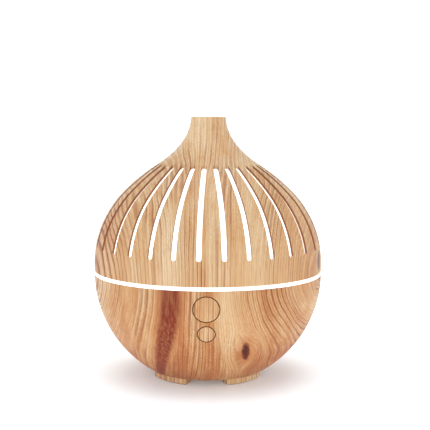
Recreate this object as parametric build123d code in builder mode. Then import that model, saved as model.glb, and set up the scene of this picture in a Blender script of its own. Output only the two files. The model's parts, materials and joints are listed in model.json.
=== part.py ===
"""Ultrasonic essential oil diffuser with an onion-shaped slotted cover that lifts off a round tank body.

Millimetres. +Z is up, the front with its two buttons faces -Y, and the origin is the centre of the
footprint on the table. The body is a sphere of BODY_R round EQUATOR_Z; the cover rises from its equator.
"""

import os
from math import asin, cos, degrees, radians, sin

from build123d import *

os.makedirs("parts", exist_ok=True)

# --- Body and cover outline -------------------------------------------------------------------
BODY_R = 75.0
EQUATOR_Z = 69.0
TOP_Z = 171.0
WALL = 2.5  # of the lower shell
COVER_WALL = 1.5
BAND = 2.3  # height of the lit ring between cover and body
BAND_LOW_Z = EQUATOR_Z - BAND / 2
BAND_HIGH_Z = EQUATOR_Z + BAND / 2
RIM_ROUND = 0.4
MOUTH_ROUND = 0.6

STRAIGHT = 6.0  # upright start of the cover above the equator
SHOULDER_R, SHOULDER_TURN = 66.7, 45.3
SLOPE_R, SLOPE_TURN = 133.8, 10.7
SLOPE_RUN = 6.5
FLARE_R, FLARE_TURN = 53.6, 19.8
THROAT_R, THROAT_TURN = 30.8, 31.2

# --- Slots in the cover -----------------------------------------------------------------------
SLOT_COUNT = 30
SLOT_WIDTH = 3.3
SLOT_END_FLAT = 0.3
SLOT_RUN = 4.8  # a slot ends this far up the dome's straight run
SLOT_TOP_LEAN = 2.25  # how much sooner it ends at the inside of the wall
SLOT_LOW_Z = 85.5
SLOT_PHASE = 2.4  # degrees the slot pattern is turned from the buttons

# --- Shade, the white liner in the cover ------------------------------------------------------
SHADE_GAP = 0.1
SHADE_WALL = 1.6
SHADE_TOP_Z = TOP_Z - 0.8
SKIRT_R = 65.2  # outside of the skirt that drops into the tank's mouth
SKIRT_DROP = 3.4
SNAP_Z = 77.0
SNAP_HEIGHT = 1.2
SNAP_DEPTH = 0.6
SNAP_PLAY = 0.1
KEY_WIDTH = 6.0
KEY_DEPTH = 1.4
KEY_Z = 68.0
KEY_PLAY = 0.4
BAFFLE_R = 16.0
BAFFLE_Z = 136.0
BAFFLE_THICK = 1.6
BAFFLE_CONE = 3.0  # height of the cone under the baffle
BAFFLE_ARM = 5.0

# --- Tank -------------------------------------------------------------------------------------
TANK_R = 67.6
TANK_WALL = 2.0
FLOOR_Z = 33.0  # underside of the tank floor
FLOOR_TOP_Z = FLOOR_Z + TANK_WALL
FLOOR_ROUND = 4.0
FILL_Z = 62.5  # the highest water line, about 300 ml
FILL_MARK_PROUD, FILL_MARK_HIGH, FILL_MARK_ARC = 1.4, 0.8, 30.0
LIP_OUTER_R, LIP_INNER_R, LIP_DROP = 72.2, 71.0, 2.0
LIP_OPEN = 24.0  # degrees of the lip left out in front, for the buttons
BAY_HALF, BAY_LOW, BAY_HIGH, BAY_DEPTH = 18.5, -40.0, 8.0, 58.5
CHIMNEY_Y = 28.0
CHIMNEY_R = 11.0
CHIMNEY_BORE_R = 9.0
CHIMNEY_TOP_Z = 66.0
CAP_R = 12.5
CAP_GAP = 4.5
CAP_THICK = 2.0
CAP_PLUG, CAP_PLAY = 5.0, 0.1  # the cap's three legs drop into the chimney
CAP_LEG, CAP_WINDOW = 1.6, 11.0
POST_X, POST_Y, POST_R = 25.56, 17.9, 3.0  # the four long posts that reach the base plate

# --- Ultrasonic disc under the tank -----------------------------------------------------------
DISC_Y = -17.0
BOSS_R = 16.5
BOSS_Z = 26.6
WELL_TOP_R, WELL_R = 12.0, 8.0
SEAT_Z = 29.4
SEAL_R, SEAL_THICK = 11.0, 2.4
DISC_R, DISC_THICK = 10.0, 0.8
CLAMP_R, CLAMP_BORE_R, CLAMP_THICK = 15.5, 7.5, 1.2
CLAMP_SCREW_R = 13.8

# --- Light ring under the tank ----------------------------------------------------------------
LED_BOARD_Z = 29.8
LED_INNER_R, LED_OUTER_R = 46.5, 54.5
LED_MID_R = (LED_INNER_R + LED_OUTER_R) / 2
LED_SIDE, LED_HIGH = 3.5, 1.2
LED_POST_R = 2.6
LED_FRONT_GAP, LED_BACK_GAP = 12.0, 20.0
LED_COUNT = 12
LED_SCREW_ANGLES = (-120, -60, 60, 120)

# --- Base -------------------------------------------------------------------------------------
BASE_Z = 4.2  # flat underside of the body, above the feet
BASE_OPENING_R = 34.5
PLATE_R = 34.2
PLATE_TOP_Z = 6.4
FOOT_OUTER_R, FOOT_INNER_R = 36.9, 27.5
FOOT_ARC = 49.0
FOOT_Z = 0.4
PAD_TOP_Z = 1.2
PAD_MARGIN = 1.1
PAD_PLAY = 0.15
PAD_END = 2.0  # degrees a pad stops short of its foot's ends
FOOT_ROUND = 0.4
SCREW_SEAT_Z = 4.6
GRILLE_ROWS, GRILLE_PITCH, GRILLE_Y = 6, 4.0, 15.0
GRILLE_SLOT = (14.0, 2.2)

# --- Buttons, in a plane tilted to face slightly down -----------------------------------------
BUTTON_TILT = 12.0
MIST_RISE, MIST_HOLE_R, MIST_FLANGE_R, MIST_FLANGE_D = 3.15, 8.35, 9.2, 69.9
LIGHT_RISE, LIGHT_HOLE_R, LIGHT_FLANGE_R, LIGHT_FLANGE_D = -13.2, 5.7, 6.5, 69.0
BUTTON_GAP = 0.5
FLANGE_THICK = 1.0
COLLAR_WIDTH = 1.0
COLLAR_PLAY = 0.1
BOARD_FACE_D = 62.9  # distance of the button board's face from the body's centre
BOARD_THICK = 1.6
PANEL_BOARD_WIDTH, PANEL_BOARD_LOW, PANEL_BOARD_HIGH = 32.0, -20.5, 7.2
SWITCH_SIDE, SWITCH_HIGH, SWITCH_FLOOR = 6.0, 3.5, 1.0
PLUNGER_R, PLUNGER_FIT = 1.7, 0.08
PLUNGER_ROOT_D, PLUNGER_TIP_D = 65.0, 67.9
BUTTON_STEM_R = 2.5
PANEL_POST_X, PANEL_POST_HIGH, PANEL_POST_LOW, PANEL_POST_R = 13.0, 4.7, -17.0, 2.5

# --- Power socket at the back -----------------------------------------------------------------
JACK_Z = 23.0
POCKET_FLOOR_Y, POCKET_WALL = 52.0, 2.0
POCKET_R = 6.3
JACK_BLOCK, JACK_END_Y, JACK_BLOCK_Y = 10.0, 42.0, 48.0
JACK_BARREL_R, JACK_FLANGE_R, JACK_FLANGE = 3.9, 5.5, 1.5
JACK_PLAY = 0.15
NUT_R, NUT_THICK = 5.8, 2.0
SOCKET_R, SOCKET_DEPTH = 2.75, 9.0
PIN_R, PIN_TAIL, PIN_SET_BACK = 1.05, 0.5, 2.0

# --- Fan --------------------------------------------------------------------------------------
FAN_Y = 21.0
FAN_SIDE = 40.0
FAN_LOW_Z, FAN_HIGH_Z = 17.0, 27.0
DUCT_Z = 28.0  # underside of the duct walls, on the fan's gasket
DUCT_WALL = 2.5
FAN_HOLE = 16.0  # half the screw spacing
FAN_BORE_R = 18.9
BLADE_TIP_R = 18.3
HUB_R, HUB_WALL = 11.0, 1.4
HUB_LOW_Z, HUB_HIGH_Z = 19.0, 26.5
BEARING_R, BEARING_TUBE_R = 2.5, 3.5
SHAFT_R, SHAFT_FIT = 1.0, 0.04
FAN_DECK = 1.2
BLADES = 7
BLADE_Z = 22.6
BLADE_ENDS = (  # radius, chord, thickness and pitch in degrees
    (HUB_R - 0.6, 6.0, 0.9, 42),
    (BLADE_TIP_R + 0.6, 9.5, 0.7, 28),
)
BEARING_TOP_Z = HUB_HIGH_Z - HUB_WALL - 0.8
STATOR_Z, STATOR_HIGH = 20.2, 3.0
STATOR_SHOE_R, STATOR_SHOE = 9.0, 1.2
STATOR_CORE_R, STATOR_ARM = 5.0, (3.2, 2.2)

# --- Main board -------------------------------------------------------------------------------
BOARD_Z = 10.0
BOARD_TOP_Z = BOARD_Z + BOARD_THICK
BOARD_SIZE = (40.0, 28.0)
BOARD_Y = -13.0
BOARD_HOLE = (16.5, 10.5)
STANDOFF_R = 3.0
PLUG_DEEP, PLUG_HIGH = 5.5, 6.0
PLUGS = {  # x, y, width
    "jack": (0, -3, 7),
    "fan": (9, -3, 7),
    "led": (-9, -3, 7),
    "disc": (12.8, -12, 7),
    "panel": (0, -23.8, 9),
}
COIL_X, COIL_Y = -8.5, -15.5
COIL_R, COIL_HIGH, COIL_FLANGE, COIL_CORE_R = 4.5, 8.0, 1.2, 2.4
CAPACITOR_R, CAPACITOR_HIGH = 3.0, 9.0
CAPACITOR_PLACES = ((-16, -10), (-16, -17.5))
SINK_X, SINK_Y, SINK_WIDTH, SINK_BACK, SINK_HIGH = -5.0, -9.5, 14.0, 1.3, 8.4
FIN_COUNT, FIN_DEEP, FIN_THICK = 6, 2.0, 1.0
TRANSISTOR_SIZE, TRANSISTOR_CORNER, TRANSISTOR_LIFT = (10, 4.4, 6.0), (-3, -13.9), 2.0
PIN_SIZE, PIN_PITCH, PIN_X, PIN_Y = (0.8, 0.6), 2.54, 2.0, -12.0
CHIP_SIZE, CHIP_CORNER, CHIP_LIFT = (8, 4, 1.3), (5.5, -20.8), 0.2
CHIP_LEG, CHIP_LEGS, CHIP_PITCH = (0.5, 0.8, 0.6), 6, 1.27
LEAD_Z = 14.4  # height of the leads where they enter the plugs from the side
LEAD_R = 0.6

# --- Screws -----------------------------------------------------------------------------------
SCREW_R = 1.15
PILOT_R = 1.2
CLEAR_R = 1.45
HEAD_R, HEAD_HIGH = 2.2, 1.6
DRIVE_LENGTH, DRIVE_WIDTH = 2.6, 0.6
CLAMP_SCREW, CLAMP_PILOT = 5.5, 5.0  # length of the screw, depth of its pilot hole
LED_SCREW, LED_PILOT = 3.6, 2.4
BOARD_SCREW = 4.6
PLATE_SCREW, POST_PILOT = 8.5, 12.0
PANEL_SCREW, PANEL_PILOT = 5.0, 5.0
FAN_SCREW = FAN_HIGH_Z - FAN_LOW_Z + 4.0

BUTTON_FRAME = Plane(
    origin=(0, 0, EQUATOR_Z),
    x_dir=(1, 0, 0),
    z_dir=(0, -cos(radians(BUTTON_TILT)), -sin(radians(BUTTON_TILT))),
)
FRONT = -90.0  # direction of -Y, as an angle from +X
FOUR_CORNERS = [(x, y) for x in (-1, 1) for y in (-1, 1)]


def save(builder, name):
    """Labels a finished piece and writes its STEP file."""
    builder.part.label = name
    export_step(builder.part, f"parts/{name}.step")


def half_plane(azimuth):
    """Upright plane through the Z axis, its own X pointing out at an angle from +X."""
    turn = radians(azimuth)
    return Plane(origin=(0, 0, 0), x_dir=(cos(turn), sin(turn), 0), z_dir=(sin(turn), -cos(turn), 0))


def dome_half(inset, base_z, top_z=TOP_Z):
    """Half section of the onion dome, moved in by inset, from base_z to top_z, midway between two slots."""
    with BuildSketch(half_plane(FRONT + SLOT_PHASE)) as half:
        with BuildLine():
            foot = Line((BODY_R - inset, base_z), (BODY_R - inset, EQUATOR_Z + STRAIGHT))
            shoulder = JernArc(foot @ 1, foot % 1, SHOULDER_R - inset, SHOULDER_TURN)
            slope = JernArc(shoulder @ 1, shoulder % 1, SLOPE_R - inset, SLOPE_TURN)
            run = Line(slope @ 1, slope @ 1 + SLOPE_RUN * (slope % 1))
            flare = JernArc(run @ 1, run % 1, FLARE_R + inset, -FLARE_TURN)
            throat = JernArc(flare @ 1, flare % 1, THROAT_R + inset, -THROAT_TURN)
            lean = (throat % 1) * ((top_z - (throat @ 1).Y) / (throat % 1).Y)
            tip = Line(throat @ 1, throat @ 1 + lean)
            Polyline(tip @ 1, (0, top_z), (0, base_z), foot @ 0)
        make_face()
    return half.sketch


def slot_band():
    """Section of one slot's cutter, a band astride the dome's wall, and the lengths of its two ends.

    The lower end is square to the wall, and the top end leans, so that the slot is longer outside.
    """
    outside, inside = -1.5, COVER_WALL + 1.0
    start = degrees(asin((SLOT_LOW_Z - EQUATOR_Z - STRAIGHT) / SHOULDER_R))
    centre = Vector(BODY_R - SHOULDER_R, EQUATOR_Z + STRAIGHT)
    ray = Vector(cos(radians(start)), sin(radians(start)))
    up = Vector(-ray.Y, ray.X)
    with BuildSketch(Plane.XZ) as band:
        with BuildLine():
            sides = []
            for inset in (outside, inside):
                begin = centre + ray * (SHOULDER_R - inset)
                shoulder = JernArc(begin, up, SHOULDER_R - inset, SHOULDER_TURN - start)
                slope = JernArc(shoulder @ 1, shoulder % 1, SLOPE_R - inset, SLOPE_TURN)
                run = SLOT_RUN - SLOT_TOP_LEAN * inset / COVER_WALL
                sides.append((begin, Line(slope @ 1, slope @ 1 + run * (slope % 1))))
            low_end = Line(sides[0][0], sides[1][0])
            top_end = Line(sides[0][1] @ 1, sides[1][1] @ 1)
        make_face()
    return band.sketch, (low_end.length, top_end.length)


def ring_section(inner_r, outer_r, low_z, high_z, azimuth=0.0):
    """Rectangle that revolves into a ring, in the upright half plane at an angle from +X."""
    with BuildSketch(half_plane(azimuth)) as section:
        with Locations(((inner_r + outer_r) / 2, (low_z + high_z) / 2)):
            Rectangle(outer_r - inner_r, high_z - low_z)
    return section.sketch


def ball_section(radius, low_z, high_z, floor_round=0.0):
    """Half section of the body's sphere of that radius between two heights."""
    with BuildSketch(Plane.XZ) as section:
        with Locations((0, EQUATOR_Z)):
            Circle(radius)
        with Locations((0, (low_z + high_z) / 2)):
            Rectangle(2 * BODY_R, high_z - low_z, mode=Mode.INTERSECT)
        with Locations((-BODY_R / 2, EQUATOR_Z)):
            Rectangle(BODY_R, 2 * BODY_R, mode=Mode.SUBTRACT)
        if floor_round:
            fillet(section.vertices().group_by(Axis.Y)[0].sort_by(Axis.X)[-1], floor_round)
    return section.sketch


def on_panel(across, rise, depth):
    """Place in the buttons' plane: across to the right, rise up it, depth out from the body's centre."""
    return BUTTON_FRAME.location * Pos(across, rise, depth)


def block(size, low_corner):
    """Box of that size with its lowest corner at the given point."""
    return Pos(*low_corner) * Box(*size, align=(Align.MIN, Align.MIN, Align.MIN), mode=Mode.PRIVATE)


def leads(*routes):
    """Insulated wires, each a tube along straight runs joined by arcs, given as (points, arc radii)."""
    with BuildPart() as bundle:
        for points, radii in routes:
            with BuildLine() as path:
                FilletPolyline(*points, radius=radii)
            with BuildSketch(Plane(origin=path.line @ 0, z_dir=path.line % 0)):
                Circle(LEAD_R)
            sweep()
    return bundle.part


def screw(length, up=True):
    """Pan-head screw with its head's seat at the origin and its shank along +Z, or -Z."""
    way = 1 if up else -1
    with BuildPart() as made:
        with BuildSketch():
            Circle(SCREW_R)
        extrude(amount=way * length)
        with BuildSketch():
            Circle(HEAD_R)
        extrude(amount=-way * HEAD_HIGH)
        rim = made.faces().sort_by(Axis.Z)[0 if up else -1].edges()
        fillet(rim, HEAD_HIGH * 0.45)
        with BuildSketch(Plane.XY.offset(-way * HEAD_HIGH)):
            Rectangle(DRIVE_LENGTH, DRIVE_WIDTH)
            Rectangle(DRIVE_WIDTH, DRIVE_LENGTH)
        extrude(amount=way * HEAD_HIGH * 0.6, mode=Mode.SUBTRACT)
    return made.part


# ==============================================================================================
# Cover: slotted shell, white shade and splash baffle. It lifts off as one piece.
# ==============================================================================================
slot_face, slot_ends = slot_band()
with BuildPart() as slot_cutter:
    extrude(slot_face, amount=SLOT_WIDTH / 2, both=True)
    across = slot_cutter.edges().filter_by(GeomType.LINE)
    ends = across.filter_by(lambda e: any(abs(e.length - end) < 0.01 for end in slot_ends))
    fillet(ends, SLOT_WIDTH / 2 - SLOT_END_FLAT / 2)

with BuildPart() as cover_shell:
    revolve(dome_half(0, BAND_HIGH_Z), axis=Axis.Z)
    revolve(dome_half(COVER_WALL, BAND_HIGH_Z), axis=Axis.Z, mode=Mode.SUBTRACT)
    groove = ring_section(
        BODY_R - COVER_WALL - SNAP_DEPTH,
        BODY_R - COVER_WALL + SNAP_DEPTH,
        SNAP_Z - SNAP_HEIGHT / 2 - SNAP_PLAY,
        SNAP_Z + SNAP_HEIGHT / 2 + SNAP_PLAY,
        FRONT + SLOT_PHASE,
    )
    revolve(groove, axis=Axis.Z, mode=Mode.SUBTRACT)
    fillet(cover_shell.edges().group_by(Axis.Z)[0], RIM_ROUND)
    fillet(cover_shell.edges().group_by(Axis.Z)[-1], MOUTH_ROUND)
    with PolarLocations(0, SLOT_COUNT, start_angle=FRONT + SLOT_PHASE + 180 / SLOT_COUNT):
        add(slot_cutter.part, mode=Mode.SUBTRACT)
save(cover_shell, "cover_shell")

with BuildPart() as inner_shade:
    outer_inset = COVER_WALL + SHADE_GAP
    inner_inset = outer_inset + SHADE_WALL
    revolve(dome_half(outer_inset, BAND_HIGH_Z, SHADE_TOP_Z), axis=Axis.Z)
    revolve(dome_half(inner_inset, BAND_HIGH_Z, SHADE_TOP_Z), axis=Axis.Z, mode=Mode.SUBTRACT)
    skirt_inner_r = SKIRT_R - SHADE_WALL
    shade_foot = ring_section(skirt_inner_r, BODY_R - inner_inset, BAND_HIGH_Z, BAND_HIGH_Z + SHADE_WALL)
    revolve(shade_foot, axis=Axis.Z)
    skirt = ring_section(skirt_inner_r, SKIRT_R, BAND_HIGH_Z - SKIRT_DROP, BAND_HIGH_Z)
    revolve(skirt, axis=Axis.Z)
    bead = ring_section(
        BODY_R - outer_inset - SHADE_WALL / 2,
        BODY_R - COVER_WALL + SNAP_DEPTH - SNAP_PLAY,
        SNAP_Z - SNAP_HEIGHT / 2,
        SNAP_Z + SNAP_HEIGHT / 2,
    )
    revolve(bead, axis=Axis.Z)
    key = block(
        (KEY_WIDTH, KEY_DEPTH + SHADE_WALL / 2, BAND_HIGH_Z - KEY_Z),
        (-KEY_WIDTH / 2, SKIRT_R - SHADE_WALL / 2, KEY_Z),
    )
    add(key)
save(inner_shade, "inner_shade")

with BuildPart() as splash_baffle:
    with BuildSketch(Plane.XY.offset(BAFFLE_Z)):
        Circle(BAFFLE_R)
        with PolarLocations(0, 3, start_angle=-FRONT):
            with Locations((BODY_R / 2, 0)):
                Rectangle(BODY_R, BAFFLE_ARM)
    extrude(amount=BAFFLE_THICK)
    revolve(dome_half(inner_inset, BAND_HIGH_Z, SHADE_TOP_Z), axis=Axis.Z, mode=Mode.INTERSECT)
    with BuildSketch(Plane.XY.offset(BAFFLE_Z)):
        Circle(BAFFLE_R)
    extrude(amount=-BAFFLE_CONE, taper=25)
save(splash_baffle, "splash_baffle")


# ==============================================================================================
# Tank: a translucent bowl whose rim is the lit ring, with everything under it hung from its floor.
# ==============================================================================================
def bay(wall):
    """Back of the box that is cut out of the tank's front to make room for the button board."""
    with BuildSketch(BUTTON_FRAME.offset(BAY_DEPTH - wall)) as back:
        with Locations((0, (BAY_LOW + BAY_HIGH + wall) / 2)):
            Rectangle(2 * (BAY_HALF + wall), BAY_HIGH + wall - BAY_LOW)
    return back.sketch


with BuildPart() as tank_cavity:
    revolve(ball_section(TANK_R - TANK_WALL, FLOOR_TOP_Z, BAND_HIGH_Z, FLOOR_ROUND), axis=Axis.Z)
    extrude(bay(TANK_WALL), amount=BODY_R, mode=Mode.SUBTRACT)

with BuildPart() as water_tank:
    revolve(ball_section(TANK_R, FLOOR_Z, BAND_HIGH_Z, FLOOR_ROUND + 1), axis=Axis.Z)
    extrude(bay(0), amount=BODY_R, mode=Mode.SUBTRACT)
    revolve(ring_section(TANK_R - TANK_WALL / 2, BODY_R, BAND_LOW_Z, BAND_HIGH_Z), axis=Axis.Z)
    ring_edges = water_tank.edges().filter_by(GeomType.CIRCLE)
    fillet(ring_edges.filter_by(lambda e: abs(e.radius - BODY_R) < 0.01), RIM_ROUND)
    lip = ring_section(LIP_INNER_R, LIP_OUTER_R, BAND_LOW_Z - LIP_DROP, BAND_LOW_Z, FRONT + LIP_OPEN / 2)
    revolve(lip, axis=Axis.Z, revolution_arc=360 - LIP_OPEN)
    add(tank_cavity.part, mode=Mode.SUBTRACT)
    notch = block(
        (KEY_WIDTH + 2 * KEY_PLAY, KEY_DEPTH + KEY_PLAY, BAND_HIGH_Z - KEY_Z + KEY_PLAY),
        (-KEY_WIDTH / 2 - KEY_PLAY, SKIRT_R, KEY_Z - KEY_PLAY),
    )
    add(notch, mode=Mode.SUBTRACT)
    fill_r = TANK_R - TANK_WALL
    fill_mark = ring_section(
        fill_r - FILL_MARK_PROUD,
        fill_r + TANK_WALL / 4,
        FILL_Z - FILL_MARK_HIGH / 2,
        FILL_Z + FILL_MARK_HIGH / 2,
        -FILL_MARK_ARC / 2,
    )
    revolve(fill_mark, axis=Axis.Z, revolution_arc=FILL_MARK_ARC)

    # air chimney, and the duct under it that the fan blows into
    with BuildSketch(Plane.XY.offset(FLOOR_Z)):
        with Locations((0, CHIMNEY_Y)):
            Circle(CHIMNEY_R)
    extrude(amount=CHIMNEY_TOP_Z - FLOOR_Z)
    with BuildSketch(Plane.XY.offset(DUCT_Z)) as duct:
        with Locations((0, FAN_Y)):
            Rectangle(FAN_SIDE, FAN_SIDE)
            Rectangle(FAN_SIDE - 2 * DUCT_WALL, FAN_SIDE - 2 * DUCT_WALL, mode=Mode.SUBTRACT)
            with GridLocations(2 * FAN_HOLE, 2 * FAN_HOLE, 2, 2):
                Circle(FAN_SIDE / 2 - FAN_HOLE)
    extrude(amount=FLOOR_Z - DUCT_Z)
    with BuildSketch(Plane.XY.offset(DUCT_Z)):
        with Locations((0, CHIMNEY_Y)):
            Circle(CHIMNEY_BORE_R)
    extrude(amount=CHIMNEY_TOP_Z - DUCT_Z, mode=Mode.SUBTRACT)
    with BuildSketch(Plane.XY.offset(DUCT_Z)):
        with Locations((0, FAN_Y)):
            with GridLocations(2 * FAN_HOLE, 2 * FAN_HOLE, 2, 2):
                Circle(PILOT_R)
    extrude(amount=FLOOR_Z - DUCT_Z - 1, mode=Mode.SUBTRACT)

    # boss and well of the ultrasonic disc
    with BuildSketch(Plane.XY.offset(BOSS_Z)):
        with Locations((0, DISC_Y)):
            Circle(BOSS_R)
    extrude(amount=FLOOR_Z - BOSS_Z)
    with Locations((0, DISC_Y, 0)):
        with Locations((0, 0, (SEAT_Z + FLOOR_TOP_Z) / 2)):
            Cone(WELL_R, WELL_TOP_R, FLOOR_TOP_Z - SEAT_Z, mode=Mode.SUBTRACT)
        with Locations((0, 0, (BOSS_Z + SEAT_Z) / 2)):
            Cylinder(SEAL_R + 0.1, SEAT_Z - BOSS_Z, mode=Mode.SUBTRACT)
    with BuildSketch(Plane.XY.offset(BOSS_Z)):
        with Locations((0, DISC_Y)):
            with PolarLocations(CLAMP_SCREW_R, 3, start_angle=90):
                Circle(PILOT_R)
    extrude(amount=CLAMP_PILOT, mode=Mode.SUBTRACT)

    # long posts to the base plate, and short ones for the light boards
    with BuildSketch(Plane.XY.offset(PLATE_TOP_Z)):
        with GridLocations(2 * POST_X, 2 * POST_Y, 2, 2):
            Circle(POST_R)
    extrude(amount=FLOOR_Z - PLATE_TOP_Z)
    with BuildSketch(Plane.XY.offset(PLATE_TOP_Z)):
        with GridLocations(2 * POST_X, 2 * POST_Y, 2, 2):
            Circle(PILOT_R)
    extrude(amount=POST_PILOT, mode=Mode.SUBTRACT)
    led_posts = [
        (LED_MID_R * cos(radians(angle)), LED_MID_R * sin(radians(angle))) for angle in LED_SCREW_ANGLES
    ]
    with BuildSketch(Plane.XY.offset(LED_BOARD_Z + BOARD_THICK)):
        with Locations(*led_posts):
            Circle(LED_POST_R)
    extrude(amount=FLOOR_Z - LED_BOARD_Z - BOARD_THICK)
    with BuildSketch(Plane.XY.offset(LED_BOARD_Z + BOARD_THICK)):
        with Locations(*led_posts):
            Circle(PILOT_R)
    extrude(amount=LED_PILOT, mode=Mode.SUBTRACT)
save(water_tank, "water_tank")

with BuildPart() as chimney_cap:
    with BuildSketch(Plane.XY.offset(CHIMNEY_TOP_Z + CAP_GAP)):
        with Locations((0, CHIMNEY_Y)):
            Circle(CAP_R)
    extrude(amount=CAP_THICK)
    fillet(chimney_cap.edges().group_by(Axis.Z)[-1], CAP_THICK - 0.2)
    for low_z, high_z, outer_r in (
        (CHIMNEY_TOP_Z, CHIMNEY_TOP_Z + CAP_GAP, CHIMNEY_R),
        (CHIMNEY_TOP_Z - CAP_PLUG, CHIMNEY_TOP_Z, CHIMNEY_BORE_R - CAP_PLAY),
    ):
        with BuildSketch(Plane.XY.offset(low_z)):
            with Locations((0, CHIMNEY_Y)):
                Circle(outer_r)
                Circle(CHIMNEY_BORE_R - CAP_LEG, mode=Mode.SUBTRACT)
                with PolarLocations(CHIMNEY_R, 3, start_angle=30):
                    Rectangle(CHIMNEY_R, CAP_WINDOW, mode=Mode.SUBTRACT)
        extrude(amount=high_z - low_z)
save(chimney_cap, "chimney_cap")


# ==============================================================================================
# Ultrasonic disc: seal, disc, clamp and screws, under the tank's well.
# ==============================================================================================
with BuildPart() as disc_seal:
    with Locations((0, DISC_Y, SEAT_Z - SEAL_THICK / 2)):
        Cylinder(SEAL_R, SEAL_THICK)
        Cylinder(WELL_R - 0.2, SEAL_THICK, mode=Mode.SUBTRACT)
        Cylinder(DISC_R, DISC_THICK, mode=Mode.SUBTRACT)
save(disc_seal, "disc_seal")

with BuildPart() as ultrasonic_disc:
    with Locations((0, DISC_Y, SEAT_Z - SEAL_THICK / 2)):
        Cylinder(DISC_R, DISC_THICK)
save(ultrasonic_disc, "ultrasonic_disc")

with BuildPart() as disc_clamp:
    with BuildSketch(Plane.XY.offset(BOSS_Z - CLAMP_THICK)):
        with Locations((0, DISC_Y)):
            Circle(CLAMP_R)
            Circle(CLAMP_BORE_R, mode=Mode.SUBTRACT)
            with PolarLocations(CLAMP_SCREW_R, 3, start_angle=90):
                Circle(CLEAR_R, mode=Mode.SUBTRACT)
    extrude(amount=CLAMP_THICK)
    with BuildSketch(Plane.XY.offset(BOSS_Z)):
        with Locations((0, DISC_Y)):
            Circle(SEAL_R - 0.1)
            Circle(WELL_R - 0.2, mode=Mode.SUBTRACT)
    extrude(amount=SEAT_Z - SEAL_THICK - BOSS_Z)
save(disc_clamp, "disc_clamp")

clamp_screw = screw(CLAMP_SCREW)
with BuildPart() as disc_clamp_screws:
    with Locations((0, DISC_Y, BOSS_Z - CLAMP_THICK)):
        with PolarLocations(CLAMP_SCREW_R, 3, start_angle=90):
            add(clamp_screw)
save(disc_clamp_screws, "disc_clamp_screws")


# ==============================================================================================
# Light ring: two half-ring boards under the tank floor, each with six lights facing up.
# ==============================================================================================
with BuildPart() as led_boards:
    with BuildSketch(Plane.XY.offset(LED_BOARD_Z)):
        Circle(LED_OUTER_R)
        Circle(LED_INNER_R, mode=Mode.SUBTRACT)
        with Locations((0, -BODY_R / 2)):
            Rectangle(LED_FRONT_GAP, BODY_R, mode=Mode.SUBTRACT)
        with Locations((0, BODY_R / 2)):
            Rectangle(LED_BACK_GAP, BODY_R, mode=Mode.SUBTRACT)
        with Locations(*led_posts):
            Circle(CLEAR_R, mode=Mode.SUBTRACT)
    extrude(amount=BOARD_THICK)
save(led_boards, "led_boards")

with BuildPart() as leds:
    with Locations((0, 0, LED_BOARD_Z + BOARD_THICK)):
        with PolarLocations(LED_MID_R, LED_COUNT, start_angle=180 / LED_COUNT):
            Box(LED_SIDE, LED_SIDE, LED_HIGH, align=(Align.CENTER, Align.CENTER, Align.MIN))
save(leds, "leds")

board_screw = screw(LED_SCREW)
with BuildPart() as led_board_screws:
    with Locations(*[(x, y, LED_BOARD_Z) for x, y in led_posts]):
        add(board_screw)
save(led_board_screws, "led_board_screws")


# ==============================================================================================
# Fan under the duct: frame with its bearing and stator, and the rotor that turns on its shaft.
# ==============================================================================================
with BuildPart() as fan_gasket:
    with BuildSketch(Plane.XY.offset(FAN_HIGH_Z)):
        with Locations((0, FAN_Y)):
            Rectangle(FAN_SIDE, FAN_SIDE)
            Circle(FAN_BORE_R, mode=Mode.SUBTRACT)
            with GridLocations(2 * FAN_HOLE, 2 * FAN_HOLE, 2, 2):
                Circle(CLEAR_R, mode=Mode.SUBTRACT)
    extrude(amount=DUCT_Z - FAN_HIGH_Z)
save(fan_gasket, "fan_gasket")

with BuildPart() as fan_frame:
    with BuildSketch(Plane.XY.offset(FAN_LOW_Z)):
        with Locations((0, FAN_Y)):
            RectangleRounded(FAN_SIDE, FAN_SIDE, 3)
            Circle(FAN_BORE_R, mode=Mode.SUBTRACT)
            with GridLocations(2 * FAN_HOLE, 2 * FAN_HOLE, 2, 2):
                Circle(CLEAR_R, mode=Mode.SUBTRACT)
    extrude(amount=FAN_HIGH_Z - FAN_LOW_Z)
    with BuildSketch(Plane.XY.offset(FAN_LOW_Z)):
        with Locations((0, FAN_Y)):
            Circle(HUB_R)
            with PolarLocations((HUB_R + FAN_BORE_R) / 2, 4, start_angle=45):
                Rectangle(FAN_BORE_R - HUB_R + 2, 2.4)
    extrude(amount=FAN_DECK)
    with BuildSketch(Plane.XY.offset(FAN_LOW_Z)):
        with Locations((0, FAN_Y)):
            Circle(BEARING_TUBE_R)
    extrude(amount=BEARING_TOP_Z + 0.3 - FAN_LOW_Z)
    with BuildSketch(Plane.XY.offset(FAN_LOW_Z + FAN_DECK)):
        with Locations((0, FAN_Y)):
            Circle(BEARING_R)
    extrude(amount=FAN_SIDE, mode=Mode.SUBTRACT)
save(fan_frame, "fan_frame")

with BuildPart() as fan_bearing:
    with BuildSketch(Plane.XY.offset(FAN_LOW_Z + FAN_DECK)):
        with Locations((0, FAN_Y)):
            Circle(BEARING_R)
            Circle(SHAFT_R + SHAFT_FIT, mode=Mode.SUBTRACT)
    extrude(amount=BEARING_TOP_Z - FAN_LOW_Z - FAN_DECK)
save(fan_bearing, "fan_bearing")

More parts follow.
